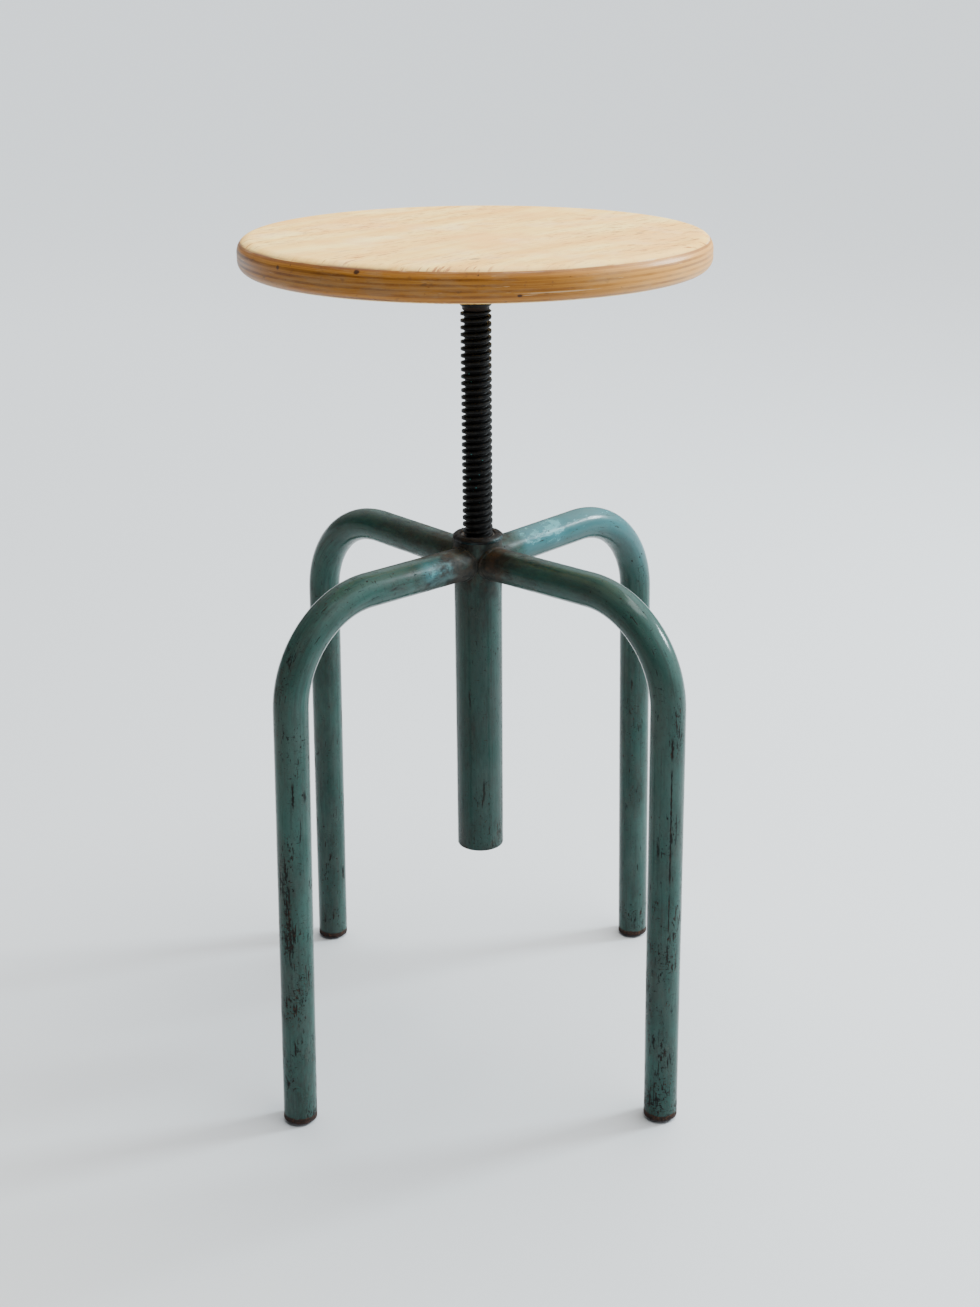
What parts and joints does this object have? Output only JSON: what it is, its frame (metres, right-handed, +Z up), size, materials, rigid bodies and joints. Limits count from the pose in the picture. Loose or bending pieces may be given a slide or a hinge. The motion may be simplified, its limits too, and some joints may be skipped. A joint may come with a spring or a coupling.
{
  "type": "adjustable swivel stool",
  "caption": "Backless work stool: round plywood seat on a screw spindle that turns in a tubular column with bent tubular legs.",
  "frame": {"origin": "on the floor, on the column's axis, under the middle of the stool", "axes": "+Z up along the column, front towards -Y, legs on the diagonals"},
  "size_m": [0.33, 0.33, 0.6365],
  "materials": {
    "plywood": "clear lacquered pale plywood, amber-brown edge showing the plies, satin",
    "teal_paint": "dark teal enamel on steel tube, semi-gloss, chipped and scratched with rust in the chips",
    "black_steel": "near-black oiled steel, satin",
    "dark_steel": "dark bare steel, dull, slightly rusty",
    "zinc_steel": "zinc-plated steel, dull"
  },
  "bodies": {
    "frame": {"column_tube": "teal_paint", "spindle_nut": "black_steel", "nut_weld": "teal_paint", "leg_front_left": "teal_paint", "leg_front_right": "teal_paint", "leg_back_left": "teal_paint", "leg_back_right": "teal_paint", "leg_weld_front_left": "teal_paint", "leg_weld_front_right": "teal_paint", "leg_weld_back_left": "teal_paint", "leg_weld_back_right": "teal_paint", "foot_plug_front_left": "dark_steel", "foot_plug_front_right": "dark_steel", "foot_plug_back_left": "dark_steel", "foot_plug_back_right": "dark_steel"},
    "guide": {"guide_disc": "dark_steel"},
    "seat": {"seat_board": "plywood", "seat_plate": "black_steel", "seat_screws": "zinc_steel", "plate_weld": "black_steel", "spindle": "black_steel", "end_washer": "zinc_steel", "lock_washer": "zinc_steel", "stop_bolt": "zinc_steel"}
  },
  "joints": [
    {"name": "screw_rise", "type": "slide", "parent": "frame", "child": "guide", "axis": [0, 0, 1], "range_m": [-0.155, 0.03]},
    {"name": "seat_turn", "type": "hinge", "parent": "guide", "child": "seat", "pos_m": [0, 0, 0.345], "axis": [0, 0, 1], "range_deg": [-11160, 2160]}
  ],
  "couplings": [
    {"joint": "screw_rise", "follows": "seat_turn", "m_per_rad": 0.00079577}
  ]
}
